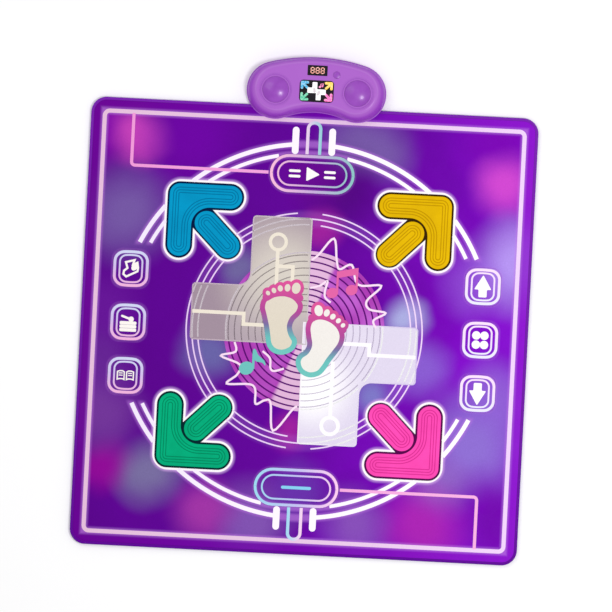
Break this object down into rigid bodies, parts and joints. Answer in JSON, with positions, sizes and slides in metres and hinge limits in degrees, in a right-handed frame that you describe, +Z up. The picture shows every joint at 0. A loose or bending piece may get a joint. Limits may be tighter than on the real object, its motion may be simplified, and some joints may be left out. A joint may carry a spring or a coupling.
{
  "type": "dance rhythm machine",
  "caption": "Soft square floor mat printed with glowing rings, raised direction arrows and touch pads, with a kidney-shaped control pod clamped over its back edge.",
  "frame": {"origin": "middle of the square mat's underside, on the floor", "axes": "+Z up out of the printed face, +Y towards the control pod at the back edge, +X to the right of a player who faces the pod"},
  "size_m": [0.93, 1.034, 0.0444],
  "materials": {
    "anti_slip_cloth": "matte",
    "foam": "matte",
    "membrane_film": "satin",
    "carbon_ink": "matte",
    "printed_cover": "satin",
    "rim_purple": "satin",
    "arrow_blue_vinyl": "satin",
    "arrow_yellow_vinyl": "satin",
    "arrow_pink_vinyl": "satin",
    "arrow_green_vinyl": "satin",
    "printed_pad": "satin",
    "pod_base_plastic": "satin",
    "pod_plastic": "satin",
    "dome_plastic": "gloss",
    "speaker_black": "matte",
    "window_black": "gloss",
    "display_black": "matte",
    "board_green": "satin",
    "connector_cream": "satin",
    "battery_shell": "satin",
    "plated_steel": "satin",
    "foot_rubber": "matte",
    "wire_red": "matte",
    "wire_black": "matte"
  },
  "bodies": {
    "mat": {"anti_slip_base": "anti_slip_cloth", "base_foam": "foam", "sensor_membrane": "membrane_film", "contact_pattern": "carbon_ink", "spacer_foam": "foam", "top_cover": "printed_cover", "edge_rim": "rim_purple", "pod_bottom_shell": "pod_base_plastic", "pod_top_shell": "pod_plastic", "left_speaker_dome": "dome_plastic", "right_speaker_dome": "dome_plastic", "left_speaker": "speaker_black", "right_speaker": "speaker_black", "score_window": "window_black", "score_display": "display_black", "screen_window": "window_black", "screen_panel": "display_black", "power_switch": "display_black", "main_board": "board_green", "board_parts": "display_black", "membrane_connector": "connector_cream", "batteries": "battery_shell", "battery_springs": "plated_steel", "battery_contacts": "plated_steel", "pod_screws": "plated_steel", "pod_feet": "foot_rubber", "clamp_bar": "plated_steel", "clamp_screws": "plated_steel", "board_screws": "plated_steel", "speaker_wires": "wire_red", "battery_wires": "wire_black"},
    "arrow_blue": {"arrow_blue": "arrow_blue_vinyl", "arrow_blue_contacts": "carbon_ink"},
    "arrow_yellow": {"arrow_yellow": "arrow_yellow_vinyl", "arrow_yellow_contacts": "carbon_ink"},
    "arrow_pink": {"arrow_pink": "arrow_pink_vinyl", "arrow_pink_contacts": "carbon_ink"},
    "arrow_green": {"arrow_green": "arrow_green_vinyl", "arrow_green_contacts": "carbon_ink"},
    "start_pad": {"start_pad": "printed_pad", "start_contacts": "carbon_ink"},
    "select_pad": {"select_pad": "printed_pad", "select_contacts": "carbon_ink"},
    "melody_pad": {"melody_pad": "printed_pad", "melody_contact": "carbon_ink"},
    "drum_pad": {"drum_pad": "printed_pad", "drum_contact": "carbon_ink"},
    "book_pad": {"book_pad": "printed_pad", "book_contact": "carbon_ink"},
    "up_pad": {"up_pad": "printed_pad", "up_contact": "carbon_ink"},
    "mode_pad": {"mode_pad": "printed_pad", "mode_contact": "carbon_ink"},
    "down_pad": {"down_pad": "printed_pad", "down_contact": "carbon_ink"},
    "power_button": {"power_button": "dome_plastic"},
    "battery_door": {"battery_door": "pod_base_plastic", "battery_door_screw": "plated_steel"}
  },
  "joints": [
    {"name": "arrow_blue_press", "type": "slide", "parent": "mat", "child": "arrow_blue", "axis": [0, 0, -1], "range_m": [0, 0.0014], "stiffness_N_per_m": 6000, "springref_m": -0.0003},
    {"name": "arrow_yellow_press", "type": "slide", "parent": "mat", "child": "arrow_yellow", "axis": [0, 0, -1], "range_m": [0, 0.0014], "stiffness_N_per_m": 6000, "springref_m": -0.0003},
    {"name": "arrow_pink_press", "type": "slide", "parent": "mat", "child": "arrow_pink", "axis": [0, 0, -1], "range_m": [0, 0.0014], "stiffness_N_per_m": 6000, "springref_m": -0.0003},
    {"name": "arrow_green_press", "type": "slide", "parent": "mat", "child": "arrow_green", "axis": [0, 0, -1], "range_m": [0, 0.0014], "stiffness_N_per_m": 6000, "springref_m": -0.0003},
    {"name": "start_pad_press", "type": "slide", "parent": "mat", "child": "start_pad", "axis": [0, 0, -1], "range_m": [0, 0.0014], "stiffness_N_per_m": 6000, "springref_m": -0.0003},
    {"name": "select_pad_press", "type": "slide", "parent": "mat", "child": "select_pad", "axis": [0, 0, -1], "range_m": [0, 0.0014], "stiffness_N_per_m": 6000, "springref_m": -0.0003},
    {"name": "melody_pad_press", "type": "slide", "parent": "mat", "child": "melody_pad", "axis": [0, 0, -1], "range_m": [0, 0.0014], "stiffness_N_per_m": 6000, "springref_m": -0.0003},
    {"name": "drum_pad_press", "type": "slide", "parent": "mat", "child": "drum_pad", "axis": [0, 0, -1], "range_m": [0, 0.0014], "stiffness_N_per_m": 6000, "springref_m": -0.0003},
    {"name": "book_pad_press", "type": "slide", "parent": "mat", "child": "book_pad", "axis": [0, 0, -1], "range_m": [0, 0.0014], "stiffness_N_per_m": 6000, "springref_m": -0.0003},
    {"name": "up_pad_press", "type": "slide", "parent": "mat", "child": "up_pad", "axis": [0, 0, -1], "range_m": [0, 0.0014], "stiffness_N_per_m": 6000, "springref_m": -0.0003},
    {"name": "mode_pad_press", "type": "slide", "parent": "mat", "child": "mode_pad", "axis": [0, 0, -1], "range_m": [0, 0.0014], "stiffness_N_per_m": 6000, "springref_m": -0.0003},
    {"name": "down_pad_press", "type": "slide", "parent": "mat", "child": "down_pad", "axis": [0, 0, -1], "range_m": [0, 0.0014], "stiffness_N_per_m": 6000, "springref_m": -0.0003},
    {"name": "power_button_press", "type": "slide", "parent": "mat", "child": "power_button", "axis": [0, 0, -1], "range_m": [0, 0.0012], "stiffness_N_per_m": 1200, "springref_m": -0.0003},
    {"name": "battery_door_lift", "type": "slide", "parent": "mat", "child": "battery_door", "axis": [0, 0, -1], "range_m": [0, 0.02]}
  ]
}
